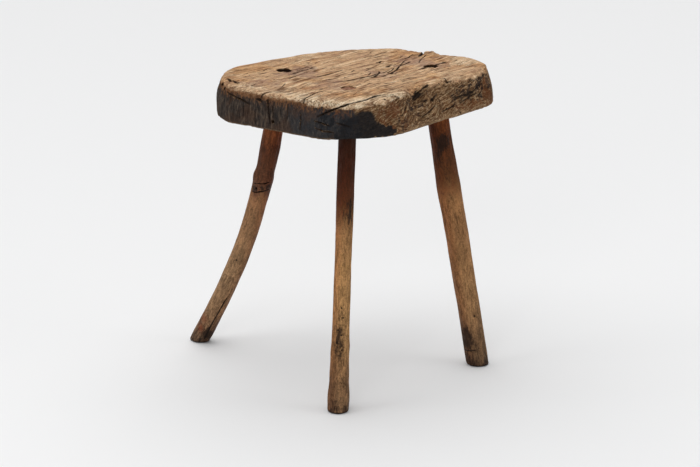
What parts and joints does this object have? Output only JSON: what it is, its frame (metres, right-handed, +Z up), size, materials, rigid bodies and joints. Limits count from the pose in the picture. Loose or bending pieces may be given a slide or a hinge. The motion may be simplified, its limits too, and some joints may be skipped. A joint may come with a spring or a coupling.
{
  "type": "tripod stool",
  "caption": "Low rustic farmhouse stool: a thick hewn slab of weathered wood on splayed branch legs, held by wedged through tenons.",
  "frame": {"origin": "on the floor under the middle of the stool's bounding box", "axes": "+Z up, -Y towards the picture's camera and the front leg, +X to the right as seen from the camera, which is the side of the stout right leg"},
  "size_m": [0.4548, 0.3642, 0.45],
  "materials": {
    "slab_wood": "hewn and weathered, bare",
    "left_leg_wood": "shaved smooth, worn by hands",
    "front_leg_wood": "shaved smooth, worn by hands",
    "right_leg_wood": "shaved smooth, worn by hands",
    "wedge_wood": "split, bare"
  },
  "bodies": {
    "root": {"seat": "slab_wood", "left_leg": "left_leg_wood", "left_wedge": "wedge_wood", "front_leg": "front_leg_wood", "front_wedge": "wedge_wood", "right_leg": "right_leg_wood", "right_wedge": "wedge_wood"}
  },
  "joints": []
}
